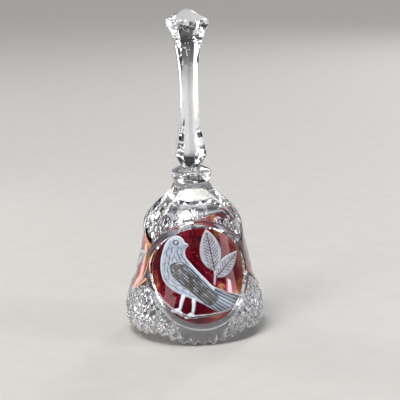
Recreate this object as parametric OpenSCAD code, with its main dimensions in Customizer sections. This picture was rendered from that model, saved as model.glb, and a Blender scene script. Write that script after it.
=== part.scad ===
// Hand bell of cut lead crystal: a cup with three ruby medallions, a faceted
// handle bonded on its crown, and a crystal clapper on a short wire chain.
// Millimetres, +Z up. The origin is on the axis at the lowest teeth of the rim,
// and the front medallion faces -Y.

/* [Bell] */
// Height from the lowest rim teeth to the tip of the handle
bell_h = 225; // [220:0.5:230]
// Thickness of the crystal wall of the cup
wall = 4.8; // [4.2:0.1:5.5]
// Height of the ceiling of the cup, inside
ceiling_z = 93; // [91:0.5:94]
// Height where the handle is bonded on the neck
neck_z = 116.6; // [116:0.1:117]

/* [Rim] */
// Number of teeth around the rim, a multiple of three
teeth = 39; // [33:6:45]
// Depth of the notch between two teeth
notch = 2.4; // [1.5:0.1:3]
// Half the width of the flat on a tooth that the bell stands on
tip = 0.7; // [0.5:0.1:1]
// Height that the rim rises beside each medallion
rim_rise = 7; // [5:0.5:8]
// Height that the rim drops back halfway between two medallions
rim_dip = 1.7; // [0:0.1:2.5]

/* [Medallions] */
// Number of medallions around the cup
medallions = 3; // [3:1:3]
// Radius of the ruby field, seen from straight in front
medallion_r = 31.4; // [30:0.1:32.5]
// Height of the middle of the ruby field
medallion_z = 48; // [47:0.5:49]
// Thickness of the ruby stained layer
stain = 0.3; // [0.2:0.05:0.5]

/* [Handle] */
// Number of long facets around the handle
facets = 6; // [5:1:8]
// Thickness of the clear adhesive between the handle and the neck
bond = 0.2; // [0.1:0.05:0.3]

/* [Chain] */
// Diameter of the wire of the links
wire = 1.1; // [1:0.05:1.2]
// Radius of a link's round ends, to the middle of the wire
link_r = 1.6; // [1.5:0.05:1.8]
// Straight length of a link between its round ends
link_s = 3.4; // [3:0.1:3.6]
// Play between two links where they hang on each other
play = 0.05; // [0.03:0.01:0.08]
// Number of links
links = 7; // [7:1:7]

/* [Clapper] */
// Radius of the crystal ball
ball_r = 7; // [6:0.25:7.5]
// Thickness of the small metal caps on the ball
cap_t = 0.5; // [0.4:0.05:0.6]

/* [Hidden] */
$fn = 96;
sliver = 0.01;

// Outside of the cup from the rim up to the neck, as [radius, height]
cup_outline = [
    [43.6, 0], [46.2, 5], [47.7, 9.7], [48, 15.2], [47.6, 21.1], [46.4, 27.2],
    [44.2, 33], [41.4, 39.6], [39.4, 46.6], [37.8, 53.1], [36.3, 60.3], [35.2, 66],
    [34.2, 73], [32.7, 80.5], [30.6, 85.4], [26.8, 89.7], [22.3, 93.9], [16.9, 98.7],
    [14, 102.4], [12, 106.2], [13.6, 108.6], [14.2, 112.1], [12.6, 114.2],
    [8, neck_z]
];
// Up to this height the hollow keeps the wall's thickness from the outside.
// Above it the hollow closes in a dome, as [radius, height], under thicker glass.
even_wall_z = 76;
even_wall = [for (p = cup_outline) if (p[1] < even_wall_z) p];
dome = [[26.6, 83], [20.5, 88.5], [12, 91.9], [5.5, ceiling_z], [0, ceiling_z]];

// Where the handle is widest at its foot, and where its stem is thinnest
stem_foot_z = 125.5;
stem_waist_z = 169;
// The handle from the bond up to its tip, as [radius over the edges, height]
handle_z = neck_z + bond;
handle_outline = [
    [7.9, handle_z], [9.6, 120.2], [12.3, stem_foot_z], [10.5, 134], [8.6, 143],
    [7.4, 153], [7.2, stem_waist_z], [7.5, 183], [9.3, 196.5], [10.6, 203.4],
    [12.9, 209.4], [15.8, 214.6], [15.6, 217.6], [5, bell_h - 1.5], [0.6, bell_h]
];
// The thumb-shaped hollows under the crown of the handle, one in the middle of each
// facet, cut to this depth into the facet at its distance from the axis
thumb_z = 215.6;
thumb_r = 10;
thumb_depth = 1.3;
thumb_facet = 13.7;

// The hole in the ceiling that holds the hanger
hole_r = 2.5;
hole_depth = 8;
shank_r = 0.8;

// The eye on the hanger
eye_wire = 1.2;
eye_r = 2;
eye_z = ceiling_z - 0.4 - eye_wire / 2 - eye_r;
eye_low_z = eye_z - eye_r;

// Each link hangs in the one above it, by the middle of its upper wire
link_len = link_s + 2 * link_r;
link_pitch = link_len - wire - play;
first_top_z = eye_low_z + (eye_wire + wire) / 2 + play;
function link_top_z(i) = first_top_z - (i - 1) * link_pitch;

// The clapper hangs in the last link
pin_eye_r = 1.7;
pin_eye_z = link_top_z(links) - link_len + wire + play - pin_eye_r;
ball_gap = 0.1;
cap_out_r = ball_r + ball_gap + cap_t;
ball_z = pin_eye_z - pin_eye_r - wire / 2 - 0.6 - cap_out_r;
ball_bore_r = wire / 2 + 0.1;
cap_r = 2.6;
pin_head_r = 1.3;
pin_head_h = 0.8;

// Height of the rim at an angle from the middle of the nearest medallion:
// level over three teeth, then up a wave to 45 degrees, then a shallow dip
function from_medallion(a) = abs((a + 90 + 360 + 60) % 120 - 60);
level = 360 / teeth;
function rim_z(a) =
    let (d = from_medallion(a))
    d <= level ? 0
    : d <= 45 ? rim_rise * (1 - cos(180 * (d - level) / (45 - level))) / 2
    : rim_rise - rim_dip * (1 - cos(180 * (d - 45) / 15)) / 2;

// A solid of revolution from an outline of [radius, height] points
module turned(outline) {
    rotate_extrude() polygon(outline);
}

// The outline moved inwards, closed down the axis
function inset(outline, by) = [for (p = outline) [p[0] - by, p[1]]];

module cup_outside() {
    turned(concat([[0, 0]], cup_outline, [[0, neck_z]]));
}

module cup_hollow() {
    turned(concat(
        [[0, -2], [even_wall[0][0] - wall - 1, -2]],
        inset(even_wall, wall),
        dome
    ));
}

// One notch of the rim: a wedge whose flanks run down through the tips of the
// two teeth beside it, so that it also takes the glass below a raised rim
module rim_cutter(i) {
    reach = PI * cup_outline[1][0] / teeth - tip;
    low = -3;
    here = (i + 0.5) * 360 / teeth - 90;
    left = rim_z(here - 180 / teeth);
    right = rim_z(here + 180 / teeth);
    top = (left + right) / 2 + notch;
    rotate([0, 0, here + 90])
        translate([0, -30, 0])
            rotate([90, 0, 0])
                linear_extrude(30)
                    polygon([
                        [-reach * (top - low) / (top - left), low],
                        [0, top],
                        [reach * (top - low) / (top - right), low]
                    ]);
}

// All that lies outside the unstained glass, in line with one medallion
module stain_pocket(turn) {
    rotate([0, 0, turn])
        difference() {
            translate([0, 0, medallion_z])
                rotate([90, 0, 0])
                    cylinder(r = medallion_r, h = 60);
            turned(concat([[0, 0]], inset(cup_outline, stain), [[0, neck_z]]));
        }
}

// The stained skin of one medallion, a disc of the outer surface
module stain_disc(turn) {
    intersection() {
        cup_outside();
        stain_pocket(turn);
    }
}

module bell_body() {
    color([0.87, 0.9, 0.94, 0.5])
        difference() {
            cup_outside();
            cup_hollow();
            translate([0, 0, ceiling_z - 1])
                cylinder(r = hole_r, h = hole_depth + 1);
            for (i = [0 : teeth - 1]) rim_cutter(i);
            for (k = [0 : medallions - 1]) stain_pocket(k * 360 / medallions);
        }
}

module ruby(k) {
    color([0.62, 0.05, 0.08, 0.7])
        stain_disc(k * 360 / medallions);
}

module handle() {
    color([0.9, 0.92, 0.95, 0.5])
        difference() {
            // One edge of the handle stands over the middle of the front medallion
            rotate([0, 0, -90])
                rotate_extrude($fn = facets)
                    polygon(concat([[0, handle_z]], handle_outline, [[0, bell_h]]));
            for (k = [0 : facets - 1])
                rotate([0, 0, (k + 0.5) * 360 / facets - 90])
                    translate([thumb_facet + thumb_r - thumb_depth, 0, thumb_z])
                        sphere(r = thumb_r);
        }
}

module handle_bond() {
    color([0.95, 0.96, 0.93, 0.6])
        translate([0, 0, neck_z])
            cylinder(r = 6.4, h = bond);
}

module hanger_cement() {
    color([0.93, 0.92, 0.88])
        difference() {
            translate([0, 0, ceiling_z]) cylinder(r = hole_r, h = hole_depth);
            translate([0, 0, ceiling_z - 1]) cylinder(r = shank_r, h = hole_depth);
        }
}

// A ring of wire standing in the XZ plane
module wire_ring(r, w) {
    rotate([90, 0, 0])
        rotate_extrude() translate([r, 0]) circle(d = w);
}

module hanger_eye() {
    color([0.78, 0.78, 0.76]) {
        translate([0, 0, eye_z]) wire_ring(eye_r, eye_wire);
        translate([0, 0, eye_z + eye_r])
            cylinder(r = shank_r, h = ceiling_z + hole_depth - 1 - eye_z - eye_r);
    }
}

// Odd links stand in the YZ plane, even ones in the XZ plane
module chain_link(i) {
    color([0.8, 0.79, 0.75])
        translate([0, 0, link_top_z(i) - link_len / 2])
            rotate([90, 0, i % 2 == 1 ? 90 : 0]) {
                for (end = [1, -1])
                    translate([0, end * link_s / 2, 0])
                        rotate([0, 0, end > 0 ? 0 : 180])
                            rotate_extrude(angle = 180) translate([link_r, 0]) circle(d = wire);
                for (side = [1, -1])
                    translate([side * link_r, -link_s / 2 - sliver, 0])
                        rotate([-90, 0, 0])
                            cylinder(d = wire, h = link_s + 2 * sliver);
            }
}

module clapper_pin() {
    color([0.8, 0.79, 0.75]) {
        rotate([0, 0, links % 2 == 0 ? 90 : 0])
            translate([0, 0, pin_eye_z]) wire_ring(pin_eye_r, wire);
        translate([0, 0, ball_z - cap_out_r - pin_head_h / 2])
            cylinder(d = wire, h = pin_eye_z - pin_eye_r - ball_z + cap_out_r + pin_head_h / 2);
        translate([0, 0, ball_z - cap_out_r - pin_head_h])
            cylinder(r = pin_head_r, h = pin_head_h);
    }
}

// A small dished cap on the ball, above it or below it
module clapper_cap(side) {
    color([0.78, 0.76, 0.7])
        translate([0, 0, ball_z])
            difference() {
                intersection() {
                    sphere(r = cap_out_r);
                    translate([0, 0, side > 0 ? 0 : -2 * cap_out_r])
                        cylinder(r = cap_r, h = 2 * cap_out_r);
                }
                sphere(r = ball_r + ball_gap);
                translate([0, 0, -2 * ball_r]) cylinder(r = ball_bore_r, h = 4 * ball_r);
            }
}

module clapper_ball() {
    color([0.9, 0.93, 0.96, 0.5])
        translate([0, 0, ball_z])
            difference() {
                sphere(r = ball_r);
                translate([0, 0, -2 * ball_r]) cylinder(r = ball_bore_r, h = 4 * ball_r);
            }
}

bell_body();
handle();
handle_bond();
ruby(0);  // ruby_front
ruby(1);  // ruby_right
ruby(2);  // ruby_left
hanger_cement();
hanger_eye();
for (i = [1 : links]) chain_link(i);
clapper_pin();
clapper_cap(1);  // clapper_cap_upper
clapper_ball();
clapper_cap(-1);  // clapper_cap_lower
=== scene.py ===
import math

import bpy
import numpy as np
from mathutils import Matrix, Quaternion, Vector


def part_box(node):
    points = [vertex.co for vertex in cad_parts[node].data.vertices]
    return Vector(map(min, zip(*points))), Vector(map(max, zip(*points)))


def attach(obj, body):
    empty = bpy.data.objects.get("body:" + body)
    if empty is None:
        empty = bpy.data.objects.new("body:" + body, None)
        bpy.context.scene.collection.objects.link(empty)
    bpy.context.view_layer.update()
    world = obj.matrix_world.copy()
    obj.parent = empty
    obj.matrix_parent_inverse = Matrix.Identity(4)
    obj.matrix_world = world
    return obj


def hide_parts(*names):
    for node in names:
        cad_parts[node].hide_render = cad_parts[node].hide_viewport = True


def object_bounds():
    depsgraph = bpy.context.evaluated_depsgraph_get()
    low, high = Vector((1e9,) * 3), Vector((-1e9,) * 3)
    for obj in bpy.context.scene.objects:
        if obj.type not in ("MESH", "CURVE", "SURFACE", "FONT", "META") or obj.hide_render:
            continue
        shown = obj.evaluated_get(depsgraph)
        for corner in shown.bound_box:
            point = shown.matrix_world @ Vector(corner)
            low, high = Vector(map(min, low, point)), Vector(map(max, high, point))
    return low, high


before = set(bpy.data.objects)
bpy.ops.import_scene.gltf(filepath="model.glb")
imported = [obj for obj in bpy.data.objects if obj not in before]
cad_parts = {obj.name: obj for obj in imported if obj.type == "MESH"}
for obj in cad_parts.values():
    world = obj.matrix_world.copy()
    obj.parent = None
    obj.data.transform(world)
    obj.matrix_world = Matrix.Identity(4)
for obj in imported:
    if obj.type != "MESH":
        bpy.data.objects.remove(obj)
cad_box = [list(corner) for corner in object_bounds()]
MM = 0.001

# ---------------------------------------------------------------- Stage and light
# The bell stands on a wide sheet of plain pale paper. Soft boxes, strips and three
# low panels light it, and a dim grey room gives the crystal something dark to show.


def linear(hex_colour):
    parts = [int(hex_colour[i:i + 2], 16) / 255 for i in (1, 3, 5)]
    return tuple(c / 12.92 if c <= 0.04045 else ((c + 0.055) / 1.055) ** 2.4 for c in parts) + (1.0,)


def add_node(tree, kind, links=None, stops=(), **settings):
    """One shader node: its links as {socket: output}, a ramp's stops with the two ends first, and its
    settings by attribute or socket name. A pattern's Scale is 1000 over its real size in mm."""
    node = tree.nodes.new(kind)
    for name, value in settings.items():
        if hasattr(node, name):
            setattr(node, name, value)
        else:
            node.inputs[name.replace("_", " ")].default_value = value
    for socket, output in (links or {}).items():
        tree.links.new(output, node.inputs[socket])
    for number, (position, hex_colour) in enumerate(stops):
        stop = node.color_ramp.elements[number] if number < 2 else node.color_ramp.elements.new(position)
        stop.position = position
        stop.color = linear(hex_colour)
    return node


def new_material(name):
    """An empty material, its node tree and the piece's own coordinates."""
    material = bpy.data.materials.new(name)
    material.use_nodes = True
    tree = material.node_tree
    tree.nodes.clear()
    return material, tree, add_node(tree, "ShaderNodeTexCoord").outputs["Object"]


def in_the_open():
    """Leaves edit mode with nothing selected."""
    if bpy.context.object and bpy.context.object.mode != "OBJECT":
        bpy.ops.object.mode_set(mode="OBJECT")
    bpy.ops.object.select_all(action="DESELECT")


def coated_paper():
    """Matt pale backdrop paper: an even warm white with a faint tooth."""
    material, tree, place = new_material("backdrop_paper")
    tooth = add_node(tree, "ShaderNodeTexNoise", {"Vector": place}, Scale=1000 / 16.7, Detail=3.0)
    tint = add_node(tree, "ShaderNodeValToRGB", {"Fac": tooth.outputs["Fac"]},
                    stops=((0, "#94928f"), (1, "#9c9a97")))
    body = add_node(tree, "ShaderNodeBsdfPrincipled", {"Base Color": tint.outputs["Color"]}, Roughness=0.75)
    add_node(tree, "ShaderNodeOutputMaterial", {"Surface": body.outputs[0]})
    return material


bell_low, bell_high = Vector(cad_box[0]), Vector(cad_box[1])
bell_height = bell_high.z - bell_low.z

in_the_open()
bpy.ops.mesh.primitive_circle_add(vertices=96, radius=8.0, fill_type="NGON", location=(0, 0, bell_low.z))
floor = bpy.context.object
floor.name = "floor"
floor.data.materials.append(coated_paper())


def soft_box(name, place, width, height, power, colour):
    bpy.ops.object.light_add(type="AREA", location=place)
    lamp = bpy.context.object
    lamp.name = name
    lamp.data.shape = "RECTANGLE"
    lamp.data.size = width
    lamp.data.size_y = height
    lamp.data.energy = power
    lamp.data.color = linear(colour)[:3]
    aim = Vector((0, 0, bell_height / 2)) - Vector(place)
    lamp.rotation_euler = aim.to_track_quat("-Z", "Y").to_euler()
    return lamp


soft_box("key_box", (-1.1, -1.0, 1.3), 0.45, 0.6, 14.0, "#fff6ec")
soft_box("fill_box", (1.5, -0.7, 0.8), 0.25, 1.0, 11.0, "#eef3ff")
soft_box("top_strip", (0.0, -0.1, 1.5), 1.4, 0.35, 8.0, "#ffffff")
soft_box("back_strip", (0.9, 1.5, 1.0), 0.2, 1.2, 12.0, "#ffffff")
soft_box("back_strip_left", (-1.2, 1.3, 0.8), 0.2, 1.0, 9.0, "#ffffff")
panel_distance = 0.6
panel_height = 0.17
for name, around in (("back_panel", 131), ("left_panel", 217), ("right_panel", 337)):
    place = Vector((math.cos(math.radians(around)), math.sin(math.radians(around)), 0)) * panel_distance
    panel = soft_box(name, place + Vector((0, 0, panel_height)), 0.24, 0.34, 0.6, "#ffffff")
    panel.visible_camera = False

bpy.ops.object.light_add(type="SUN", location=(-1, -1, 3))
even_light = bpy.context.object
even_light.name = "even_light"
even_light.data.energy = 3.7
even_light.data.angle = math.radians(25)
even_light.rotation_euler = Vector((0.45, 0.6, -1.6)).to_track_quat("-Z", "Y").to_euler()

world = bpy.data.worlds.new("room")
bpy.context.scene.world = world
world.use_nodes = True
room = world.node_tree
room.nodes.clear()
facing = add_node(room, "ShaderNodeTexCoord")
upward = add_node(room, "ShaderNodeSeparateXYZ", {"Vector": facing.outputs["Generated"]})
bands = add_node(room, "ShaderNodeValToRGB", {"Fac": upward.outputs["Z"]},
                 stops=((0, "#8f8f90"), (1, "#8a8b8e"), (0.14, "#1e1f22"), (0.6, "#3c3e42")))
room_light = add_node(room, "ShaderNodeBackground", {"Color": bands.outputs["Color"]}, Strength=0.8)
add_node(room, "ShaderNodeOutputWorld", {"Surface": room_light.outputs[0]})

camera_distance = 1.0
camera_azimuth, camera_elevation = math.radians(-7), math.radians(11)
camera_aim = Vector((0.0058, 0, 0.0919))
camera_target = Vector((0, 0, 0.112))
camera_back = Vector((
    math.sin(camera_azimuth) * math.cos(camera_elevation),
    -math.cos(camera_azimuth) * math.cos(camera_elevation),
    math.sin(camera_elevation),
))
bpy.ops.object.camera_add(location=camera_target + camera_back * camera_distance)
camera = bpy.context.object
camera.rotation_mode = "QUATERNION"
looking = camera_aim - camera.location
roll = math.radians(-1.6)
camera.rotation_quaternion = looking.to_track_quat("-Z", "Y") @ Quaternion((0, 0, 1), roll)
camera.data.lens = 129.7
camera.data.clip_end = 30
bpy.context.scene.camera = camera

light_paths = bpy.context.scene.cycles
light_paths.max_bounces = 28
light_paths.transmission_bounces = 28
light_paths.glossy_bounces = 12
light_paths.transparent_max_bounces = 16
bpy.context.scene.view_settings.view_transform = "Standard"

# ---------------------------------------------------------------- Cup
# One piece of mould-pressed lead crystal. Its outside is cut on the wheel with
# rings, a polished arch, mitres and diamonds, and the rim is ground to teeth.
# The arch's bright reflection is painted in as a milky white band over its polish.

teeth = 39
tooth_turn = 360 / teeth
cells_per_tooth = 12
columns = teeth * cells_per_tooth
column_turn = 360 / columns
diamond_cells = 9

notch_depth = 2.7
wave_top_turn = 45
wave_rise = 7
wave_dip = 1.7
wave_ends_z = 20
wall = 4.8
ceiling_z = 93.0
neck_z = 116.6
outline = np.array([
    [43.6, 0], [46.2, 5], [47.7, 9.7], [48, 15.2], [47.6, 21.1], [46.4, 27.2], [44.2, 33],
    [41.4, 39.6], [39.4, 46.6], [37.8, 53.1], [36.3, 60.3], [35.2, 66], [34.2, 73],
    [32.7, 80.5], [30.6, 85.4], [26.8, 89.7], [22.3, 93.9], [16.9, 98.7], [14, 102.4],
    [12, 106.2], [13.6, 108.6], [14.2, 112.1], [12.6, 114.2], [8, neck_z],
])
dome = np.array([[26.6, 83], [20.5, 88.5], [12, 91.9], [5.5, ceiling_z], [2.6, ceiling_z]])
hole_r = 2.5
hole_depth = 8.0
crystal_ior = 1.545

medallion_r = 31.4
medallion_z = 48.0
medallion_turns = (0, 120, 240)
field_depth = 0.45
ring_middle = 2.5
arch_top_z = 99.3
arch_reach = 52.5
fan_foot_z = 47
fan_pitch = 13
zigzag_z = 104.7
zigzag_points = 26
zigzag_half = 1.7
collar_r = 13.6
collar_z = 111.4


def smooth_line(x, y, at):
    """A smooth curve through the points (x, y), read at the given places."""
    slope = np.gradient(y, x)
    i = np.clip(np.searchsorted(x, at) - 1, 0, len(x) - 2)
    step = x[i + 1] - x[i]
    t = np.clip((at - x[i]) / step, 0, 1)
    a, b = 2 * t**3 - 3 * t**2 + 1, t**3 - 2 * t**2 + t
    c, d = -2 * t**3 + 3 * t**2, t**3 - t**2
    return a * y[i] + b * step * slope[i] + c * y[i + 1] + d * step * slope[i + 1]


def glass_radius(z):
    return smooth_line(outline[:, 1], outline[:, 0], np.asarray(z, float))


def ramp(x, low, high):
    t = np.clip((x - low) / (high - low), 0, 1)
    return t * t * (3 - 2 * t)


def hump(x, half_width):
    return np.clip(1 - (x / half_width)**2, 0, 1)


def off_medallion(turn):
    return (turn + 90 + 60) % 120 - 60


def scallop(turn):
    """0 at the tip of each tooth of the rim, and 1 in the notch between two."""
    return (1 - np.cos(2 * np.pi * (turn + 90) / tooth_turn)) / 2


def rim_height(turn):
    """The rim's wave: level under a medallion, up beside it, a shallow dip between two."""
    d = np.abs(off_medallion(turn))
    climb = np.clip((d - tooth_turn) / (wave_top_turn - tooth_turn), 0, 1)
    fall = np.clip((d - wave_top_turn) / (60 - wave_top_turn), 0, 1)
    wave = wave_rise * (1 - np.cos(np.pi * climb)) / 2 - wave_dip * (1 - np.cos(np.pi * fall)) / 2
    return wave + notch_depth * scallop(turn)**0.85


def saw(x):
    """0 on whole numbers, 1 halfway between them."""
    return 2 * np.abs(x - np.round(x))


def arch_line(d):
    """Height of the arch over a medallion, and half its width, for degrees from the medallion's middle."""
    height = arch_top_z - 13 * np.clip(d / arch_reach, 0, 1.03)**9
    return height, 3.7 - 2.2 * np.clip(d / arch_reach, 0, 1)**3


def cuts(turn, z, row):
    """How far the cutting stands out from the smooth outside, in mm."""
    d = np.abs(off_medallion(turn))
    r = glass_radius(z)
    across = r * np.sin(np.radians(off_medallion(turn)))
    away = np.hypot(across, z - medallion_z)
    column = (turn + 90) / column_turn
    line = np.minimum(saw((column + row) / diamond_cells), saw((column - row) / diamond_cells))
    mitres = np.clip(1 - line / 0.5, 0, 1)

    field = 1 - ramp(away, medallion_r, medallion_r + 0.8)
    border = np.sqrt(hump(away - (medallion_r + ring_middle), 2.0))
    lift = 0.8 * border - field_depth * field

    outside = ramp(away, medallion_r + 4.6, medallion_r + 5.4)
    plain_edge = 33 - 0.95 * z
    beside = ramp(d, plain_edge, plain_edge + 1.5)
    low = outside * beside * (1 - ramp(z, 50, 53)) * ramp(z - rim_height(turn), 2.2, 3.4)
    lift += low * (0.2 - 1.0 * mitres)

    arch_z, arch_half = arch_line(d)
    from_arch = np.where((d < arch_reach + 0.5) & (z > 80), np.abs(z - arch_z) / arch_half, 9)
    lift += 0.35 * hump(from_arch, 1) - 0.5 * hump((from_arch - 1) * arch_half - 0.3, 0.6)

    side = (60 - d) * np.radians(1) * r
    fan_turn = np.degrees(np.arctan2(side, np.maximum(z - fan_foot_z, 0.1)))
    fan_far = np.hypot(side, z - fan_foot_z)
    high = outside * ramp(z, 51, 54) * (1 - ramp(z, 96, 99))
    near_ring = 1 - ramp(away, medallion_r + 8.2, medallion_r + 8.6)
    over = ramp(z, arch_z + arch_half + 0.3, arch_z + arch_half + 0.8) * ramp(d, 50, 52)
    fans = high * (1 - near_ring) * np.where(z > arch_z, over, ramp(d, 43, 46))
    lift += fans * ramp(fan_far, 3, 10) * (1.2 * (1 - saw(fan_turn / fan_pitch)) - 0.6)
    studs = high * near_ring * ramp(d, 25, 28)
    lift += studs * (0.2 - 0.9 * mitres)

    star_z = medallion_z + medallion_r + ring_middle
    star_turn = np.degrees(np.arctan2(across, np.maximum(z - star_z, 0.1)))
    star_far = np.hypot(across, z - star_z)
    star = (z > star_z + 2) & (z < arch_z - arch_half) & (np.abs(star_turn) < 40)
    lift -= np.where(star, 0.3 * (1 - saw(star_turn / fan_pitch)) * hump(star_far - 6.5, 4), 0)

    zigzag = 1 - np.abs(saw((turn + 90) * zigzag_points / 360) - 0.5) * 2
    lift += 0.9 * hump(z - zigzag_z, zigzag_half) * zigzag - 0.4 * hump(z - zigzag_z, zigzag_half + 0.2)
    lift -= 0.6 * scallop(turn)**3 * (1 - ramp(z - rim_height(turn), 0.5, 3.6))
    return lift


def outer_place(turn, row_z, row):
    """Radius and height of the outside for a row of the sheet."""
    edge = rim_height(turn)
    z = np.where(row_z < wave_ends_z, edge + (wave_ends_z - edge) * row_z / wave_ends_z, row_z)
    polished_edge = 0.8 * (1 - ramp(z - edge, 0, 1.4))
    r = glass_radius(z) + cuts(turn, z, row) - polished_edge
    facet = (turn + 90 + 15) % 30 - 15
    thumb = np.sqrt(hump(z - collar_z, 1.7) * hump(facet, 11))
    collar = collar_r / np.cos(np.radians(facet)) - 0.9 * thumb
    r = np.where(row_z > 107, np.minimum(r, collar), r)
    return r, z


def row_steps(start, end, step):
    """Heights between two levels, evenly spaced along the outside."""
    fine = np.linspace(start, end, 400)
    along = np.concatenate([[0], np.cumsum(np.hypot(np.diff(fine), np.diff(glass_radius(fine))))])
    count = int(round(along[-1] / step))
    return np.interp(np.linspace(0, along[-1], count + 1), along, fine)


outer_rows = np.concatenate([row_steps(0, 64, 0.72)[:-1], row_steps(64, 105, 0.95)[:-1],
                             row_steps(105, neck_z, 0.8)])
inner_line = np.concatenate([[[r - wall, z] for r, z in outline if z < 76], dome])
inner_steps = np.linspace(0, len(inner_line) - 1, 30)
inner_wall = np.stack([np.interp(inner_steps, np.arange(len(inner_line)), inner_line[:, k])
                       for k in (0, 1)], 1)
drilled = [[hole_r, ceiling_z], [hole_r, ceiling_z + hole_depth], [0, ceiling_z + hole_depth]]
inner_rows = np.concatenate([inner_wall, drilled])[::-1]
edge_rows = 4
sheet_rows = len(inner_rows) + edge_rows + len(outer_rows) + 1


def cup_sheet(turn, row):
    """Radius and height for a point of the sheet. Its rows run down the inside and up the outside."""
    r, z = np.zeros_like(turn), np.zeros_like(turn)
    edge = rim_height(turn)
    inside = row < len(inner_rows)
    i = np.clip(row, 0, len(inner_rows) - 1)
    ri = np.interp(i, np.arange(len(inner_rows)), inner_rows[:, 0])
    zi = np.interp(i, np.arange(len(inner_rows)), inner_rows[:, 1])
    r_low, z_low = inner_rows[-1, 0], edge + 0.5
    zi = np.where(zi < wave_ends_z, z_low + (wave_ends_z - z_low) * zi / wave_ends_z, zi)
    t = (row - len(inner_rows) + 1) / (edge_rows + 1)
    ro, zo = outer_place(turn, np.zeros_like(turn), np.zeros_like(turn))
    re = r_low + (ro - r_low) * t
    ze = z_low + (zo - z_low) * t - 0.5 * np.sin(np.pi * np.clip(t, 0, 1))
    first_outer = len(inner_rows) + edge_rows
    k = np.clip(row - first_outer, 0, len(outer_rows) - 1)
    rz = np.interp(k, np.arange(len(outer_rows)), outer_rows)
    rout, zout = outer_place(turn, rz, k)
    r = np.where(inside, ri, np.where(row < first_outer, re, rout))
    z = np.where(inside, zi, np.where(row < first_outer, ze, zout))
    last = row > first_outer + len(outer_rows) - 0.5
    return np.where(last, 0, r), np.where(last, neck_z, z)


def read_points(mesh):
    flat = np.empty(len(mesh.vertices) * 3)
    mesh.vertices.foreach_get("co", flat)
    return flat.reshape(-1, 3)


def write_points(mesh, points):
    mesh.vertices.foreach_set("co", np.ascontiguousarray(points, float).ravel())
    mesh.update()


def face_corners(mesh, sides):
    """The points of each face of a mesh whose faces all have that many sides."""
    corners = np.empty(len(mesh.polygons) * sides, int)
    mesh.polygons.foreach_get("vertices", corners)
    return corners.reshape(-1, sides)


def grid_sheet(name, across, along):
    """A flat unit sheet of cells, from (0, 0) to (1, 1), made the active object."""
    in_the_open()
    bpy.ops.mesh.primitive_grid_add(x_subdivisions=across, y_subdivisions=along, size=1,
                                    location=(0.5, 0.5, 0))
    bpy.ops.object.transform_apply(location=True)
    sheet = bpy.context.object
    sheet.name = name
    return sheet


def pick_faces(mesh, chosen):
    """Selects the chosen faces of the active piece, in edit mode."""
    bpy.ops.object.mode_set(mode="EDIT")
    bpy.ops.mesh.select_mode(type="FACE")
    bpy.ops.mesh.select_all(action="DESELECT")
    bpy.ops.object.mode_set(mode="OBJECT")
    mesh.polygons.foreach_set("select", chosen)
    bpy.ops.object.mode_set(mode="EDIT")


def split_along_cuts(piece, height_at):
    """Splits each four-sided face along the diagonal that the cutting follows."""
    mesh = piece.data
    points = read_points(mesh)
    corners = face_corners(mesh, 4)
    values = height_at(points[:, 0], points[:, 1])
    centre = points[corners].mean(1)
    middle = height_at(centre[:, 0], centre[:, 1])
    first = np.abs((values[corners[:, 0]] + values[corners[:, 2]]) / 2 - middle)
    second = np.abs((values[corners[:, 1]] + values[corners[:, 3]]) / 2 - middle)
    pick_faces(mesh, first <= second)
    bpy.ops.mesh.quads_convert_to_tris(quad_method="FIXED", ngon_method="BEAUTY")
    bpy.ops.mesh.select_all(action="SELECT")
    bpy.ops.mesh.quads_convert_to_tris(quad_method="FIXED_ALTERNATE", ngon_method="BEAUTY")
    bpy.ops.object.mode_set(mode="OBJECT")


def close_and_smooth(piece, merge=1e-6, angle=32):
    bpy.ops.object.mode_set(mode="EDIT")
    bpy.ops.mesh.select_all(action="SELECT")
    bpy.ops.mesh.remove_doubles(threshold=merge)
    bpy.ops.mesh.normals_make_consistent(inside=False)
    bpy.ops.object.mode_set(mode="OBJECT")
    bpy.ops.object.shade_smooth_by_angle(angle=math.radians(angle))


cup = grid_sheet("cut_crystal_cup", columns, sheet_rows - 1)


def sheet_height(u, v):
    r, z = cup_sheet(u * 360 - 90, v * (sheet_rows - 1))
    return r


split_along_cuts(cup, sheet_height)
flat = read_points(cup.data)
turn, row = np.round(flat[:, 0] * columns) * column_turn - 90, np.round(flat[:, 1] * (sheet_rows - 1), 6)
turn = np.where(turn >= 270 - 1e-6, -90, turn)
r, z = cup_sheet(turn, row)
write_points(cup.data, np.stack([r * np.cos(np.radians(turn)), r * np.sin(np.radians(turn)), z], 1) * MM)
close_and_smooth(cup)


def lead_crystal(name, tint):
    """Polished lead crystal: clear, faintly cool, with soft polishing marks on the cut faces."""
    material, tree, place = new_material(name)
    cloud = add_node(tree, "ShaderNodeTexNoise", {"Vector": place}, Scale=1000 / 11.1, Detail=4.0)
    polish = add_node(tree, "ShaderNodeMapRange", {"Value": cloud.outputs["Fac"]}, To_Min=0.0, To_Max=0.03)
    shade = add_node(tree, "ShaderNodeValToRGB", {"Fac": cloud.outputs["Fac"]},
                     stops=((0, tint), (1, "#fbfdff")))
    body = add_node(tree, "ShaderNodeBsdfPrincipled",
                    {"Base Color": shade.outputs["Color"], "Roughness": polish.outputs["Result"]},
                    IOR=crystal_ior, Transmission_Weight=1.0)
    add_node(tree, "ShaderNodeOutputMaterial", {"Surface": body.outputs[0]})
    return material


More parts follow.
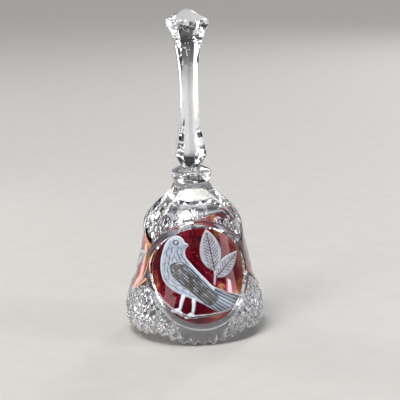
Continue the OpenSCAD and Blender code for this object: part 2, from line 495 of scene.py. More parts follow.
def ground_and_arch_highlight_crystal():
    """Ground crystal, only half polished: milky, with the fine tooth that the wheel leaves.
    It is the rim's real matt finish, and on the polished arch its milky white is a painted highlight.
    """
    material, tree, place = new_material("ground_and_arch_highlight_crystal")
    patchy = add_node(tree, "ShaderNodeTexNoise", {"Vector": place}, Scale=1000 / 2.5, Detail=3.0)
    rough = add_node(tree, "ShaderNodeMapRange", {"Value": patchy.outputs["Fac"]}, To_Min=0.15, To_Max=0.4)
    marks = add_node(tree, "ShaderNodeTexNoise", {"Vector": place}, Scale=1000 / 0.667)
    tooth = add_node(tree, "ShaderNodeBump", {"Height": marks.outputs["Fac"]}, Strength=0.2, Distance=0.0001)
    body = add_node(tree, "ShaderNodeBsdfPrincipled",
                    {"Roughness": rough.outputs["Result"], "Normal": tooth.outputs["Normal"]},
                    Base_Color=linear("#e9e8e4"), IOR=crystal_ior, Transmission_Weight=0.55)
    add_node(tree, "ShaderNodeOutputMaterial", {"Surface": body.outputs[0]})
    return material


def give(piece, *materials):
    piece.data.materials.clear()
    for material in materials:
        piece.data.materials.append(material)


give(cup, lead_crystal("lead_crystal_cup", "#eef3fa"), ground_and_arch_highlight_crystal())
x, y, z = (read_points(cup.data) / MM).T
turn = np.degrees(np.arctan2(y, x))
d = np.abs(off_medallion(turn))
arch_z, arch_half = arch_line(d)
# The arch band takes the milky material as a painted highlight for its reflection; the rim band is the real
# ground finish.
on_outside = np.hypot(x, y) > glass_radius(z) - 1.5
on_arch = (np.abs(z - arch_z) < arch_half) & (d < arch_reach + 0.5) & on_outside
rim_and_arch_points = on_arch | (z < rim_height(turn) + 1.1)
rim_and_arch_faces = rim_and_arch_points[face_corners(cup.data, 3)].all(1)
cup.data.polygons.foreach_set("material_index", rim_and_arch_faces.astype(int))
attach(cup, "bell")
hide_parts("bell_body")

# ---------------------------------------------------------------- Medallion pictures
# Each medallion holds a generic songbird on a twig beside two leaves. They stand
# proud of the field, engraved with feathers and veins, and the ruby stops at them.


sides = ("front", "right", "left")
relief_cell = 0.3
relief_base = 0.03
relief_back = 0.1
least_height = 0.12


def spline(points, steps=6):
    """A closed smooth outline through the given corners."""
    p = np.array(points, float)
    t = np.linspace(0, 1, steps, endpoint=False)[:, None]
    before, after, beyond = np.roll(p, 1, 0), np.roll(p, -1, 0), np.roll(p, -2, 0)
    runs = [0.5 * (2 * b + (c - a) * t + (2 * a - 5 * b + 4 * c - d) * t**2 + (3 * b - a - 3 * c + d) * t**3)
            for a, b, c, d in zip(before, p, after, beyond)]
    return np.concatenate(runs)


def inside_outline(line, x, z):
    """Distance to a closed outline, in mm, above zero inside it."""
    near = np.full(x.shape, 1e9)
    crossings = np.zeros(x.shape, bool)
    for (ax, az), (bx, bz) in zip(line, np.roll(line, -1, 0)):
        dx, dz = bx - ax, bz - az
        t = np.clip(((x - ax) * dx + (z - az) * dz) / (dx * dx + dz * dz + 1e-12), 0, 1)
        near = np.minimum(near, (x - ax - t * dx)**2 + (z - az - t * dz)**2)
        if az != bz:
            crosses = ((az > z) != (bz > z)) & (x < ax + dx * (z - az) / dz)
            crossings ^= crosses
    return np.where(crossings, 1, -1) * np.sqrt(near)


def inside_twig(points, x, z):
    """Distance inside a chain of tapered round strokes, given as (x, z, radius)."""
    best = np.full(x.shape, -1e9)
    for (ax, az, ar), (bx, bz, br) in zip(points, points[1:]):
        dx, dz = bx - ax, bz - az
        t = np.clip(((x - ax) * dx + (z - az) * dz) / (dx * dx + dz * dz), 0, 1)
        best = np.maximum(best, ar + t * (br - ar) - np.hypot(x - ax - t * dx, z - az - t * dz))
    return best


bird_line = spline([
    (-7.2, 20.6), (-9.6, 22.4), (-10.6, 24.6), (-13.4, 26.6), (-16.8, 26.2), (-19.6, 24.2), (-22.2, 20.8),
    (-23.8, 16.8), (-25.2, 12), (-26, 7.4), (-26.2, 3), (-25.6, -1.8), (-23.8, -5.8), (-20.6, -8.8),
    (-16.6, -11), (-12.2, -12.8), (-7.4, -14.6), (-2.2, -17), (2.2, -19.4), (6, -21.8), (10.6, -24),
    (15.4, -24), (20.6, -22.6), (24, -19.6), (26.4, -15.8), (19.4, -13.2), (12.4, -9.8), (7.4, -7),
    (3, -2.2), (-1.8, 3), (-6, 8), (-9, 11.8), (-9.8, 14.8), (-9.2, 18),
])
wing_line = spline([
    (-19.8, 6), (-17.4, 8.2), (-13.2, 8.8), (-9.8, 7.4), (-5.6, 3.6), (-1, -1.4), (3.4, -6.2), (7.6, -10.6),
    (10.8, -14.8), (8.2, -17.6), (4.6, -19.2), (0.2, -16.4), (-4.6, -12.4), (-9.2, -8.4), (-14.4, -4.2),
    (-18.6, 0.2),
])
eye_x, eye_z = -15.6, 22
tail_root = (-30, 12)
legs = [[(-12, -11.5, 1.6), (-14.2, -16.8, 1.2), (-15.4, -21, 1.0)],
        [(-5.8, -13.8, 1.6), (-6.2, -18.8, 1.2), (-7, -23.2, 1.0)]]
toes = [[(-20.4, -22.6, 1.1), (-17, -22.6, 1.9), (-14.2, -25, 1.2)],
        [(-11.8, -26.6, 1.2), (-8.6, -25.4, 1.9), (-5.4, -26.6, 1.1)]]
twig = [(-28.4, -12.4, 0.6), (-26, -16.6, 0.7), (-22, -20.2, 0.8), (-17.4, -23.4, 0.9), (-9, -26.6, 1.1),
        (-2.6, -26, 1.1), (5.4, -25.8, 1), (13.6, -25, 0.9), (19.8, -23.4, 0.8)]
leaf_stem = [(9.6, 4, 0.7), (9.8, -0.8, 0.8), (9.2, -6, 0.9)]
leaf_shapes = {"big": ((9.6, 2.6), (5, 30.4), 7.5), "small": ((10.6, -1.8), (27.2, 12), 5.7)}


def leaf_place(leaf, x, z):
    """Along the midrib from 0 to 1, and across it in half widths of the blade there."""
    (bx, bz), (tx, tz), half = leaf_shapes[leaf]
    length = math.hypot(tx - bx, tz - bz)
    ux, uz = (tx - bx) / length, (tz - bz) / length
    along = ((x - bx) * ux + (z - bz) * uz) / length
    across = (x - bx) * uz - (z - bz) * ux
    a = np.clip(along, 0, 1)
    blade = half * np.sin(np.pi * a**0.8)**0.75 + 0.05
    return along, across, blade, length


def inside_leaf(leaf, x, z):
    along, across, blade, length = leaf_place(leaf, x, z)
    end = np.minimum(along, 1 - along) * length
    return np.where(end < 0, end, np.minimum(blade - np.abs(across), end + 0.4))


def inside_bird(x, z):
    limbs = [inside_twig(part, x, z) for part in legs + toes]
    return np.maximum(inside_outline(bird_line, x, z), np.max(limbs, 0))


def inside_leaves(x, z):
    blades = [inside_leaf(leaf, x, z) for leaf in leaf_shapes]
    return np.maximum(np.max(blades, 0), inside_twig(leaf_stem, x, z))


def inside_twig_only(x, z):
    return inside_twig(twig, x, z)


def inside_picture(x, z):
    return np.max([inside_bird(x, z), inside_leaves(x, z), inside_twig_only(x, z)], 0)


def pillow(d, width):
    """A rounded rise from the outline, 0 at the edge and 1 from the given width inwards."""
    return np.sqrt(1 - (1 - np.clip(d / width, 0, 1))**2)


def engraved(lines, sharp=1.0):
    """Narrow vee cuts at whole numbers of the given pattern, 1 at their bottom."""
    return np.clip(1 - saw(lines) / 0.5 * sharp, 0, 1)


def grain(a, b):
    """A fixed uneven value from 0 to 1, the same all over each whole-numbered cell."""
    return np.abs(np.sin(np.floor(a) * 12.99 + np.floor(b) * 78.23) * 437.58) % 1


def bird_height(x, z):
    """Height of the bird above the field in mm, and its tone from 0, cut clear and painted dark as shade,
    to 1, matt white, with a painted highlight along its outline.
    """
    body = inside_outline(bird_line, x, z)
    wing = inside_outline(wing_line, x, z)
    limbs = np.max([inside_twig(part, x, z) for part in legs + toes], 0)
    height = np.maximum(1.25 * pillow(body, 6.5), 0.8 * pillow(limbs, 1.2))
    height += 0.45 * pillow(wing, 1.6) * (wing > 0)
    along = 0.7 * x - 0.71 * z
    over = 0.71 * x + 0.7 * z
    on_wing = wing > 0.6
    on_tail = (along > 13) & (wing < -0.4) & (body > 0.35)
    spread = np.degrees(np.arctan2(z - tail_root[1], x - tail_root[0]))
    fan = np.where(on_tail, spread / 2.1, over / 1.6 + 0.1 * np.sin(along / 3))
    feather = np.floor(fan)
    unbroken = grain(feather, along / 3.6 + 0.4 * feather) > 0.2
    quills = engraved(fan) * ((on_wing & unbroken) | on_tail)
    ring = body / 2.3 + 0.2 * np.sin(along / 3)
    flow = np.where(z > 8, z, along)
    breaks = saw(flow / 5.2 + 0.5 * np.floor(ring)) < 0.5
    plumes = engraved(ring, 0.8) * breaks * (wing < -0.9) * (body > 1.0) * (along < 12) * (z < 19)
    bar = hump(wing - 0.1, 0.5)
    eye_far = np.hypot(x - eye_x, z - eye_z)
    eye = hump(eye_far - 1.5, 0.55)
    beak = hump(z - 20.7 - 0.1 * (x + 7), 0.3) * (x > -10.4) * (x < -7.6)
    deep = np.max([quills, 0.9 * plumes, bar, eye, beak], 0)
    height += 0.35 * hump(eye_far, 1.0) - 0.34 * deep
    # Painted highlight: the band within 0.9 mm of the bird's outline is lifted brighter, towards the top
    # stop.
    matt = 0.64 + 0.32 * (body < 0.9) + 0.2 * grain((x + 0.3 * z) / 1.3, flow / 2.6) * (wing < 0)
    matt = np.where(on_wing, 0.24 + 0.36 * grain(feather, along / 4.3 + 0.37 * feather), matt)
    matt = np.where(on_tail, 0.45 + 0.35 * grain(feather, 0 * along), matt)
    # Painted shade: the tone is lowered in the engraved cuts, so the recesses are coloured darker.
    return np.maximum(height, least_height), np.clip(matt - 0.7 * deep, 0, 1)


def leaf_height(x, z):
    """Height and tone of the leaves and their stem, with painted shade darkening the veins and the midrib."""
    height = 0.7 * pillow(inside_twig(leaf_stem, x, z), 0.8)
    deep = np.zeros_like(x)
    for leaf in leaf_shapes:
        along, across, blade, length = leaf_place(leaf, x, z)
        d = inside_leaf(leaf, x, z)
        inner = (np.abs(across) < 0.66 * blade) & (along > 0.06) & (along < 0.9)
        veins = engraved((along * length - 0.8 * np.abs(across)) / 2.2) * inner
        rib = hump(across, 0.5) * (along < 0.93)
        height = np.maximum(height, 0.95 * pillow(d, 1.6) + 0.2 * np.clip(d / 7, 0, 1))
        deep = np.maximum(deep, np.maximum(0.9 * veins, rib) * (d > 0))
    # Painted shade: the veins and the midrib are coloured darker than the blade.
    tone_and_painted_light = 0.72 + 0.15 * grain(x / 1.3, z / 1.3) - 0.65 * deep
    return np.maximum(height - 0.3 * deep, least_height), np.clip(tone_and_painted_light, 0, 1)


def twig_height(x, z):
    """Height and tone of the twig, with painted shade darkening the bark lines, and a darker line along its
    middle.
    """
    d = inside_twig_only(x, z)
    bark = engraved((x * 0.9 + z * 0.4) / 1.7) * 0.5
    split = hump(d - 0.95, 0.35)
    # Painted shade: the bark lines are coloured darker.
    return np.maximum(0.85 * pillow(d, 1.0) - 0.12 * bark, least_height), 0.7 - 0.3 * bark - 0.5 * split


def on_field(x, z, lift):
    """Places medallion points on the front field of the cup, in metres."""
    r = glass_radius(medallion_z + z) - field_depth + lift
    return np.stack([x, -np.sqrt(np.maximum(r * r - x * x, 1)), medallion_z + z], 1) * MM


def medallion_sheet(name, inside, cell):
    """A flat sheet of small cells trimmed to where inside(x, z) is above zero, its edge on the outline."""
    across = 2 * (medallion_r + 1)
    count = int(round(across / cell))
    piece = grid_sheet(name, count, count)
    mesh = piece.data
    spot = (read_points(mesh)[:, :2] - 0.5) * across
    centre = spot[face_corners(mesh, 4)].mean(1)
    outside = inside(centre[:, 0], centre[:, 1]) <= 0
    write_points(mesh, np.column_stack([spot, np.zeros(len(spot))]))
    pick_faces(mesh, outside)
    bpy.ops.mesh.delete(type="FACE")
    bpy.ops.mesh.select_mode(type="EDGE")
    bpy.ops.mesh.select_all(action="DESELECT")
    bpy.ops.mesh.select_non_manifold()
    bpy.ops.object.mode_set(mode="OBJECT")
    edge = np.zeros(len(mesh.vertices), bool)
    mesh.vertices.foreach_get("select", edge)
    spot = read_points(mesh)[:, :2]
    for _ in range(3):
        x, z = spot[edge, 0], spot[edge, 1]
        here = inside(x, z)
        gx = (inside(x + 0.02, z) - inside(x - 0.02, z)) / 0.04
        gz = (inside(x, z + 0.02) - inside(x, z - 0.02)) / 0.04
        steep = gx * gx + gz * gz + 1e-6
        step = np.clip(here / steep, -0.35 * cell, 0.35 * cell)
        spot[edge] -= np.stack([gx * step, gz * step], 1)
    return piece, spot


def take_up(piece):
    """Makes one piece the only selected one and the active one."""
    in_the_open()
    bpy.context.view_layer.objects.active = piece
    piece.select_set(True)


def thicken(piece, thickness):
    """Gives a sheet a back, one thickness behind it. The first half of the points is its front."""
    take_up(piece)
    back = piece.modifiers.new("back", "SOLIDIFY")
    back.thickness = thickness * MM
    back.offset = -1
    back.use_quality_normals = True
    bpy.ops.object.modifier_apply(modifier="back")


def for_each_medallion(piece, name):
    """Copies the front piece round to the other medallions. All of them are fixed on the bell."""
    piece.name = f"{name}_{sides[0]}"
    made = [piece]
    for side, turned in zip(sides[1:], medallion_turns[1:]):
        take_up(piece)
        bpy.ops.object.duplicate(linked=False)
        copy = bpy.context.object
        copy.rotation_euler.z = math.radians(turned)
        bpy.ops.object.transform_apply(rotation=True)
        copy.name = f"{name}_{side}"
        made.append(copy)
    for copy in made:
        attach(copy, "bell")
    return made


def satin_crystal(name, white, middle, cut):
    """Crystal etched to a satin: matt and milky on the raised parts, clearer in the cuts,
    where the colour is also darkened as painted shade.
    """
    material, tree, place = new_material(name)
    tone_and_painted_light = add_node(tree, "ShaderNodeAttribute", attribute_name="tone_and_painted_light")
    veil = add_node(tree, "ShaderNodeTexNoise", {"Vector": place}, Scale=1000 / 3.85, Detail=3.0)
    uneven = add_node(tree, "ShaderNodeMapRange", {"Value": veil.outputs["Fac"]}, To_Min=-0.17, To_Max=0.18)
    tone = add_node(tree, "ShaderNodeMath", {0: tone_and_painted_light.outputs["Fac"], 1: uneven.outputs["Result"]},
                    operation="ADD")
    # The top stop, pale blue-white, is reached by the painted highlight along the bird's outline and the
    # lightest satin.
    colour = add_node(tree, "ShaderNodeValToRGB", {"Fac": tone.outputs[0]},
                      stops=((0.08, cut), (0.95, "#d2d8e2"), (0.36, middle), (0.62, white)))
    rough = add_node(tree, "ShaderNodeMapRange", {"Value": tone.outputs[0]}, To_Min=0.12, To_Max=0.55)
    etch = add_node(tree, "ShaderNodeTexNoise", {"Vector": place}, Scale=1000 / 1.11, Detail=3.0)
    tooth = add_node(tree, "ShaderNodeBump", {"Height": etch.outputs["Fac"]}, Strength=0.25, Distance=0.0001)
    body = add_node(tree, "ShaderNodeBsdfPrincipled",
                    {"Base Color": colour.outputs["Color"], "Roughness": rough.outputs["Result"],
                     "Normal": tooth.outputs["Normal"]},
                    IOR=crystal_ior, Transmission_Weight=0.35)
    add_node(tree, "ShaderNodeOutputMaterial", {"Surface": body.outputs[0]})
    return material


def relief(name, inside, height, material):
    """One part of the picture, standing on all three fields."""
    piece, spot = medallion_sheet(name, inside, relief_cell)
    x, z = spot.T
    lift, tone_and_painted_light = height(x, z)
    write_points(piece.data, on_field(x, z, relief_base + relief_back))
    thicken(piece, relief_back)
    points = read_points(piece.data)
    points[:len(spot)] = on_field(x, z, relief_base + lift)
    write_points(piece.data, points)
    layer = piece.data.attributes.new("tone_and_painted_light", "FLOAT", "POINT")
    values = np.full(len(points), 0.6)
    values[:len(spot)] = tone_and_painted_light
    layer.data.foreach_set("value", values)
    give(piece, material)
    close_and_smooth(piece, 1e-7, 50)
    for one in for_each_medallion(piece, name):
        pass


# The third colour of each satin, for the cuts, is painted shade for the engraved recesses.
feather_satin = satin_crystal("satin_crystal_feathers", "#98a6bc", "#6e6a68", "#302f32")
relief("songbird", inside_bird, bird_height, feather_satin)
leaf_satin = satin_crystal("satin_crystal_leaves", "#8e8a96", "#6c6468", "#3a3034")
relief("leaves", inside_leaves, leaf_height, leaf_satin)
bark_satin = satin_crystal("satin_crystal_twig", "#8e868a", "#6c6064", "#44363a")
relief("twig", inside_twig_only, twig_height, bark_satin)

# ---------------------------------------------------------------- Ruby stain
# A thin layer of copper-ruby stain fired on each medallion's field, round the
# picture. It goes from deep red to amber where the stain is thin, and amber patches
# painted into it stand for glints of lamp light.


def inside_stain(x, z):
    return np.minimum(medallion_r - np.hypot(x, z), -inside_picture(x, z) - 0.08)


def ruby_stain(name):
    """Fired copper-ruby stain under polish: dark wine red, thinner and ambered towards its edge,
    with painted highlights as amber patches for glints of light.
    """
    material, tree, place = new_material(name)
    stain_and_glint_value = add_node(tree, "ShaderNodeAttribute", attribute_name="thin_stain_and_glints")
    drift = add_node(tree, "ShaderNodeTexNoise", {"Vector": place}, Scale=1000 / 22.2, Detail=3.0,
                     Distortion=1.2)
    uneven = add_node(tree, "ShaderNodeMapRange", {"Value": drift.outputs["Fac"]}, To_Min=-0.45, To_Max=0.45)
    tone = add_node(tree, "ShaderNodeMath", {0: stain_and_glint_value.outputs["Fac"], 1: uneven.outputs["Result"]},
                    operation="ADD")
    # The amber top stop also colours the painted glints.
    colour = add_node(tree, "ShaderNodeValToRGB", {"Fac": tone.outputs[0]},
                      stops=((0.1, "#90192f"), (0.95, "#f4b07a"), (0.4, "#b42c42"), (0.75, "#dc5f66")))
    fine = add_node(tree, "ShaderNodeTexNoise", {"Vector": place}, Scale=1000 / 3.33)
    polish = add_node(tree, "ShaderNodeMapRange", {"Value": fine.outputs["Fac"]}, To_Min=0.0, To_Max=0.05)
    body = add_node(tree, "ShaderNodeBsdfPrincipled",
                    {"Base Color": colour.outputs["Color"], "Roughness": polish.outputs["Result"]},
                    IOR=1.52, Transmission_Weight=0.94)
    add_node(tree, "ShaderNodeOutputMaterial", {"Surface": body.outputs[0]})
    return material


stain_cell = 0.45
stain_top = 0.35
stain_thickness = 0.3
stain, spot = medallion_sheet("ruby_stain", inside_stain, stain_cell)
x, z = spot.T
write_points(stain.data, on_field(x, z, stain_top))
thicken(stain, stain_thickness)
thin_stain_and_glints = np.clip((x + 4) / 30, 0, 1) * 0.6 + 0.3 * ramp(np.hypot(x, z), 24, 31)
# Painted highlights: amber patches placed where lamp light glints through the ruby, not thin stain.
painted_glints = ((14, -9, 4.5, 4), (8, -26, 5, 3), (-29, -5, 2.4, 9), (13, 27, 3, 4))
for patch_x, patch_z, patch_w, patch_h in painted_glints:
    thin_stain_and_glints += 0.7 * hump(np.hypot((x - patch_x) / patch_w, (z - patch_z) / patch_h), 1)
layer = stain.data.attributes.new("thin_stain_and_glints", "FLOAT", "POINT")
layer.data.foreach_set("value", np.tile(thin_stain_and_glints, 2))
give(stain, ruby_stain("ruby_stain_layer"))
close_and_smooth(stain, 1e-7, 50)
for film, side in zip(for_each_medallion(stain, "stain"), sides):
    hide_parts(f"ruby_{side}")

# ---------------------------------------------------------------- Handle
# A solid stick of crystal, ground with six long hollow-sided facets, a row of
# thumb cuts under the head and a low six-sided crown. It is bonded on the neck.


def box_mm(node):
    """Lowest and highest corner of a node, in mm."""
    low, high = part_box(node)
    return low / MM, high / MM


handle_low = box_mm("handle")[0].z
handle_top = bell_high.z / MM
stem_line = np.array([
    [7.9, handle_low], [9.5, 120.2], [12.3, 125.5], [11.3, 129.5], [10.5, 134], [9.4, 138.4], [8.6, 143],
    [7.9, 148.2], [7.5, 153.7], [7.25, 161], [7.2, 169], [7.35, 175.8], [7.6, 182.7], [8.2, 189.6],
    [9.3, 196.5], [10.6, 203.3], [12.9, 209.3], [15.9, 214.6], [15.7, 217.6], [5, handle_top - 1.5],
    [0.9, handle_top],
])
stem_flat = math.cos(math.pi / 6)
slab_reach = 30


def stem_slab(name, turned):
    """A slab whose two edges are one opposite pair of the stem's facets."""
    slab = grid_sheet(name, 1, len(stem_steps) - 1)
    grid = read_points(slab.data)
    level = np.round(grid[:, 1] * (len(stem_steps) - 1)).astype(int)
    half = stem_steps[level, 0] * stem_flat
    points = np.stack([np.full(len(grid), -slab_reach), (grid[:, 0] * 2 - 1) * half, stem_steps[level, 1]], 1)
    write_points(slab.data, points * MM)
    bpy.ops.object.mode_set(mode="EDIT")
    bpy.ops.mesh.select_all(action="SELECT")
    bpy.ops.mesh.extrude_region_move(TRANSFORM_OT_translate={"value": (2 * slab_reach * MM, 0, 0)})
    bpy.ops.mesh.select_all(action="SELECT")
    bpy.ops.mesh.normals_make_consistent(inside=False)
    bpy.ops.object.mode_set(mode="OBJECT")
    slab.rotation_euler.z = math.radians(turned)
    bpy.ops.object.transform_apply(rotation=True)
    return slab


def combine(piece, tool, how):
    """Cuts, joins or keeps with another solid, which is then thrown away."""
    take_up(piece)
    work = piece.modifiers.new("cut", "BOOLEAN")
    work.operation = how
    work.solver = "EXACT"
    work.object = tool
    bpy.ops.object.modifier_apply(modifier="cut")
    bpy.data.objects.remove(tool)


long_line = stem_line[2:16]
long_z = np.linspace(long_line[0, 1], long_line[-1, 1], 40)
long_r = smooth_line(long_line[:, 1], long_line[:, 0], long_z)
stem_steps = np.concatenate([stem_line[:2], np.stack([long_r, long_z], 1), stem_line[16:]])
handle = stem_slab("handle_crystal", 30)
for turned in (90, 150):
    combine(handle, stem_slab("slab", turned), "INTERSECT")


def bevelled(piece, width, segments=2, angle=30):
    edge = piece.modifiers.new("edge", "BEVEL")
    edge.width = width * MM
    edge.segments = segments
    edge.limit_method = "ANGLE"
    edge.angle_limit = math.radians(angle)
    bpy.ops.object.modifier_apply(modifier="edge")


bevelled(handle, 0.22, 2, 24)
thumb_r = 10.0
thumb_z = 215.6
thumb_reach = 22.4
for corner in range(6):
    around = math.radians(60 * corner)
    place = Vector((thumb_reach * math.cos(around), thumb_reach * math.sin(around), thumb_z)) * MM
    # Each ball is turned a little askew, so that none of its faces lies flat on the last cut.
    in_the_open()
    bpy.ops.mesh.primitive_uv_sphere_add(segments=64, ring_count=32, radius=thumb_r * MM, location=place,
                                         rotation=(0.37, 0.23, around + 0.11))
    bpy.ops.object.transform_apply(location=True, rotation=True)
    combine(handle, bpy.context.object, "DIFFERENCE")
give(handle, lead_crystal("lead_crystal_handle", "#f1f5fb"))
close_and_smooth(handle, 1e-6, 24)
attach(handle, "bell")
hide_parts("handle")

# ---------------------------------------------------------------- Bond and cement
# A film of clear adhesive holds the handle on the neck. The hanger stands in a
# plug of pale cement in the drilled ceiling, with a shallow dip round its shank.


def cylinder(name, radius, low, high, sides=64):
    in_the_open()
    bpy.ops.mesh.primitive_cylinder_add(vertices=sides, radius=radius * MM, depth=(high - low) * MM,
                                        location=(0, 0, (low + high) / 2 * MM))
    bpy.ops.object.transform_apply(location=True)
    piece = bpy.context.object
    piece.name = name
    return piece


def pick(piece, wanted, kind="VERT"):
    """Selects the points or faces for which wanted(x, y, z), in mm, holds, in edit mode."""
    bpy.ops.object.mode_set(mode="EDIT")
    bpy.ops.mesh.select_mode(type=kind)
    bpy.ops.mesh.select_all(action="DESELECT")
    bpy.ops.object.mode_set(mode="OBJECT")
    items = piece.data.vertices if kind == "VERT" else piece.data.polygons
    for item in items:
        place = item.co if kind == "VERT" else item.center
        item.select = wanted(*(place / MM))
    bpy.ops.object.mode_set(mode="EDIT")


def finished(piece, material, body, node=None, angle=40):
    """Gives a finished piece its material in a slot, smooths it, fixes it to its body and hides the imported
    part of the node it stands for.
    """
    bpy.context.view_layer.objects.active = piece
    give(piece, material)
    close_and_smooth(piece, 1e-7, angle)
    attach(piece, body)
    if node:
        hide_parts(node)


def clear_adhesive():
    """Light-cured adhesive: clear, a touch straw-coloured, with a few fine bubbles."""
    material, tree, place = new_material("light_cured_adhesive")
    bubbles = add_node(tree, "ShaderNodeTexVoronoi", {"Vector": place}, Scale=1000 / 1.43)
    haze = add_node(tree, "ShaderNodeMapRange", {"Value": bubbles.outputs["Distance"]},
                    From_Max=0.4, To_Min=0.45, To_Max=0.12)
    tint = add_node(tree, "ShaderNodeValToRGB", {"Fac": bubbles.outputs["Distance"]},
                    stops=((0, "#f4f1e2"), (1, "#fdfcf6")))
    body = add_node(tree, "ShaderNodeBsdfPrincipled",
                    {"Base Color": tint.outputs["Color"], "Roughness": haze.outputs["Result"]},
                    IOR=1.51, Transmission_Weight=1.0)
    add_node(tree, "ShaderNodeOutputMaterial", {"Surface": body.outputs[0]})
    return material


bond_low, bond_high = box_mm("handle_bond")
bond = cylinder("bond_film", bond_high.x, bond_low.z, bond_high.z)
pick(bond, lambda x, y, z: math.hypot(x, y) < bond_high.x - 1, "FACE")
bpy.ops.mesh.inset(thickness=0.5 * MM, depth=0)
bpy.ops.object.mode_set(mode="OBJECT")
bevelled(bond, 0.06)
finished(bond, clear_adhesive(), "bell", "handle_bond")


def plaster_cement():
    """Plaster-based glass cement: matt off-white, finely pored and a little stained by the metal."""
    material, tree, place = new_material("plaster_cement")
    blotch = add_node(tree, "ShaderNodeTexNoise", {"Vector": place}, Scale=1000 / 2, Detail=4.0)
    pores = add_node(tree, "ShaderNodeTexVoronoi", {"Vector": place}, Scale=1000 / 0.385)
    tone = add_node(tree, "ShaderNodeValToRGB", {"Fac": blotch.outputs["Fac"]},
                    stops=((0.3, "#a8a396"), (0.7, "#d9d5c9")))
    relief_of_pores = add_node(tree, "ShaderNodeBump", {"Height": pores.outputs["Distance"]},
                               Strength=0.5, Distance=0.0001)
    body = add_node(tree, "ShaderNodeBsdfPrincipled",
                    {"Base Color": tone.outputs["Color"], "Normal": relief_of_pores.outputs["Normal"]},
                    Roughness=0.9)
    add_node(tree, "ShaderNodeOutputMaterial", {"Surface": body.outputs[0]})
    return material


wetted = 0.03
shank_r = 0.8
cement_low, cement_high = (corner.z for corner in box_mm("hanger_cement"))
cement = cylinder("cement_plug", hole_r + wetted, cement_low, cement_high + wetted, 48)
pick(cement, lambda x, y, z: z < cement_low + 0.1 and math.hypot(x, y) < 0.1, "FACE")
bpy.ops.mesh.inset(thickness=0.5 * MM, depth=0)
bpy.ops.mesh.inset(thickness=0.6 * MM, depth=-0.25 * MM)
bpy.ops.mesh.inset(thickness=0.4 * MM, depth=-0.1 * MM)
bpy.ops.object.mode_set(mode="OBJECT")
combine(cement, cylinder("bore", shank_r - wetted, cement_low - 1, cement_high - 1, 32), "DIFFERENCE")
finished(cement, plaster_cement(), "bell", "hanger_cement")

# ---------------------------------------------------------------- Hanger and chain
# Nickel-plated wire: an eye with its shank in the cement, and seven long links.
# Each link is bent round from wire, and its ends meet in a butt joint on one side.


def plated_wire():
    """Nickel-plated wire: bright and faintly warm, with drawing lines and small dull patches."""
    material, tree, place = new_material("nickel_plated_wire")
    patches = add_node(tree, "ShaderNodeTexNoise", {"Vector": place}, Scale=1000 / 1.4, Detail=5.0)
    tone = add_node(tree, "ShaderNodeValToRGB", {"Fac": patches.outputs["Fac"]},
                    stops=((0.3, "#8d8880"), (0.6, "#cdc8bd")))
    dull = add_node(tree, "ShaderNodeMapRange", {"Value": patches.outputs["Fac"]}, To_Min=0.45, To_Max=0.12)
    lines = add_node(tree, "ShaderNodeTexNoise", {"Vector": place}, Scale=1000 / 0.167)
    drawn = add_node(tree, "ShaderNodeBump", {"Height": lines.outputs["Fac"]}, Strength=0.2, Distance=0.00003)
    body = add_node(tree, "ShaderNodeBsdfPrincipled",
                    {"Base Color": tone.outputs["Color"], "Roughness": dull.outputs["Result"],
                     "Normal": drawn.outputs["Normal"]}, Metallic=1.0)
    add_node(tree, "ShaderNodeOutputMaterial", {"Surface": body.outputs[0]})
    return material


def wire_ring(name, radius, wire, height, turned):
    """A ring of round wire standing upright at a height, turned about the vertical."""
    in_the_open()
    bpy.ops.mesh.primitive_torus_add(major_radius=radius * MM, minor_radius=wire / 2 * MM,
                                     major_segments=40, minor_segments=16)
    ring = bpy.context.object
    ring.name = name
    ring.rotation_euler = (math.pi / 2, 0, math.radians(turned))
    ring.location.z = height * MM
    bpy.ops.object.transform_apply(location=True, rotation=True)
    return ring


eye_low, eye_high = box_mm("hanger_eye")
eye_wire = 1.2
eye_ring_r = eye_high.x - eye_wire / 2
eye_z_mid = eye_low.z + eye_wire / 2 + eye_ring_r
chain_wire = plated_wire()
hanger = wire_ring("hanger_eye_wire", eye_ring_r, eye_wire, eye_z_mid, 0)
combine(hanger, cylinder("shank", shank_r, eye_z_mid + eye_ring_r - 0.2, eye_high.z, 32), "UNION")
bevelled(hanger, 0.1)
finished(hanger, chain_wire, "bell", "hanger_eye", 50)

link_names = [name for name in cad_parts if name.startswith("link_")]
for name in sorted(link_names):
    link_low, link_high = box_mm(name)
    size = link_high - link_low
    wire = min(size.x, size.y)
    middle = (link_low.z + link_high.z) / 2
    bend_r = max(size.x, size.y) / 2 - wire / 2
    straight = (size.z - wire) / 2 - bend_r
    turned = 90 if size.y > size.x else 0
    link = wire_ring(f"chain_{name}", bend_r, wire, middle, turned)
    for side in (1, -1):
        pick(link, lambda x, y, z: (z - middle) * side > 0.05)
        bpy.ops.transform.translate(value=(0, 0, side * straight * MM))
        bpy.ops.object.mode_set(mode="OBJECT")
    pick(link, lambda x, y, z: abs(z - middle) < 0.05 and (x + y) > 0)
    bpy.ops.mesh.bevel(offset=0.12 * MM, segments=1)
    bpy.ops.object.mode_set(mode="OBJECT")
    finished(link, chain_wire, name, name, 50)

# ---------------------------------------------------------------- Clapper
# A drilled crystal ball, cut with flat facets, held on an eye pin between two
# small dished caps. The pin's lower end is riveted over into a round head.

pin_low, pin_high = box_mm("clapper_pin")
pin_wire = 1.1
pin_turned = 0 if pin_high.x > pin_high.y else 90
pin_ring_r = max(pin_high.x, pin_high.y) - pin_wire / 2
pin_eye_z = pin_high.z - pin_wire / 2 - pin_ring_r
pin_head_r = 1.3
pin_head_h = 0.8
pin = wire_ring("clapper_eye_pin", pin_ring_r, pin_wire, pin_eye_z, pin_turned)
shank = cylinder("shank", pin_wire / 2, pin_low.z + pin_head_h / 2, pin_eye_z - pin_ring_r + 0.2, 32)
combine(pin, shank, "UNION")
rivet = cylinder("rivet", pin_head_r, pin_low.z, pin_low.z + pin_head_h, 32)
bevelled(rivet, 0.35, 4)
combine(pin, rivet, "UNION")
finished(pin, chain_wire, "clapper", "clapper_pin", 50)


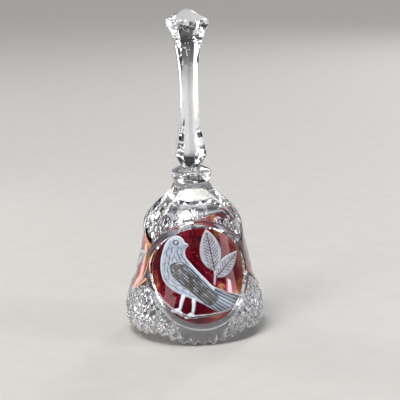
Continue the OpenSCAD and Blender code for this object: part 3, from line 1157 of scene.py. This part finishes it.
def stamped_cap():
    """Stamped and nickelled brass: turned rings from the polishing, brassy where it is rubbed."""
    material, tree, place = new_material("nickelled_brass_cap")
    rings = add_node(tree, "ShaderNodeTexWave", {"Vector": place}, Scale=1000 / 1.11,
                     Distortion=1.5, wave_type="RINGS", rings_direction="Z")
    rub = add_node(tree, "ShaderNodeTexNoise", {"Vector": place}, Scale=1000 / 1.67, Detail=3.0)
    tone = add_node(tree, "ShaderNodeValToRGB", {"Fac": rub.outputs["Fac"]},
                    stops=((0.35, "#c8c2b4"), (0.75, "#c2a56a")))
    dull = add_node(tree, "ShaderNodeMapRange", {"Value": rings.outputs["Fac"]}, To_Min=0.18, To_Max=0.38)
    body = add_node(tree, "ShaderNodeBsdfPrincipled",
                    {"Base Color": tone.outputs["Color"], "Roughness": dull.outputs["Result"]}, Metallic=1.0)
    add_node(tree, "ShaderNodeOutputMaterial", {"Surface": body.outputs[0]})
    return material


ball_low, ball_high = box_mm("clapper_ball")
ball_z = (ball_low.z + ball_high.z) / 2
ball_r = ball_high.x
ball_gap = 0.1
cap_r = 2.6
cap_t = 0.5
bore_r = 0.65
cap_metal = stamped_cap()
for side, name in ((1, "clapper_cap_upper"), (-1, "clapper_cap_lower")):
    in_the_open()
    bpy.ops.mesh.primitive_uv_sphere_add(segments=64, ring_count=64, radius=(ball_r + ball_gap) * MM,
                                         location=(0, 0, ball_z * MM))
    cap = bpy.context.object
    bpy.ops.object.transform_apply(location=True)
    cap.name = f"{name}_dished"
    pick(cap, lambda x, y, z: math.hypot(x, y) > cap_r - 0.1 or (z - ball_z) * side < 0
         or math.hypot(x, y) < bore_r - 0.3, "FACE")
    bpy.ops.mesh.delete(type="FACE")
    bpy.ops.object.mode_set(mode="OBJECT")
    shell = cap.modifiers.new("shell", "SOLIDIFY")
    shell.thickness = cap_t * MM
    shell.offset = 1
    bpy.ops.object.modifier_apply(modifier="shell")
    bevelled(cap, 0.08)
    finished(cap, cap_metal, "clapper", name, 40)

in_the_open()
bpy.ops.mesh.primitive_uv_sphere_add(segments=16, ring_count=9, radius=ball_r * MM,
                                     location=(0, 0, ball_z * MM))
ball = bpy.context.object
bpy.ops.object.transform_apply(location=True)
ball.name = "clapper_ball_cut"
combine(ball, cylinder("bore", bore_r, ball_z - 2 * ball_r, ball_z + 2 * ball_r, 32), "DIFFERENCE")
bevelled(ball, 0.12, 1, 12)
finished(ball, lead_crystal("lead_crystal_ball", "#eef4fb"), "clapper", "clapper_ball", 8)
